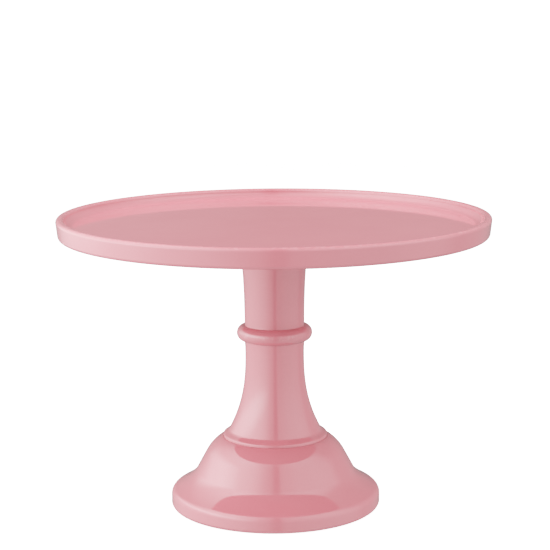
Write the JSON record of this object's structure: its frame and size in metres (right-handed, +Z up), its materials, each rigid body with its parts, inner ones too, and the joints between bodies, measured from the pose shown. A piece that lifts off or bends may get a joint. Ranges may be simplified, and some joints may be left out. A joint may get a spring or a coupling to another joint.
{
  "type": "cake stand",
  "caption": "Round pedestal cake stand: a rimmed plate that screws off a flared stem with a round collar, on a lipped bell foot.",
  "frame": {"origin": "on the table, at the centre of the foot", "axes": "+Z up along the stem; the stand is round about Z, so +X and +Y are any two level directions"},
  "size_m": [0.286, 0.286, 0.197],
  "materials": {
    "melamine": "glossy moulded pink melamine",
    "silicone": "soft off-white silicone",
    "brass": "turned brass",
    "zinc_steel": "bright zinc plate",
    "nylon": "white nylon"
  },
  "bodies": {
    "pedestal": {"foot": "melamine", "foot_ring": "silicone", "stem": "melamine", "stem_washer": "zinc_steel", "stem_nut": "zinc_steel", "nut_lock_ring": "nylon", "tie_bolt": "zinc_steel", "bolt_lock_washer": "zinc_steel", "bolt_washer": "zinc_steel"},
    "seal": {"gasket": "silicone"},
    "plate": {"plate": "melamine", "plate_insert": "brass"}
  },
  "joints": [
    {"name": "plate_rise", "type": "slide", "parent": "pedestal", "child": "seal", "axis": [0, 0, 1], "range_m": [0, 0.01]},
    {"name": "plate_turn", "type": "hinge", "parent": "seal", "child": "plate", "pos_m": [0, 0, 0.1708], "axis": [0, 0, 1], "range_deg": [0, 2880]}
  ],
  "couplings": [
    {"joint": "plate_rise", "follows": "plate_turn", "m_per_rad": 0.00019894}
  ]
}
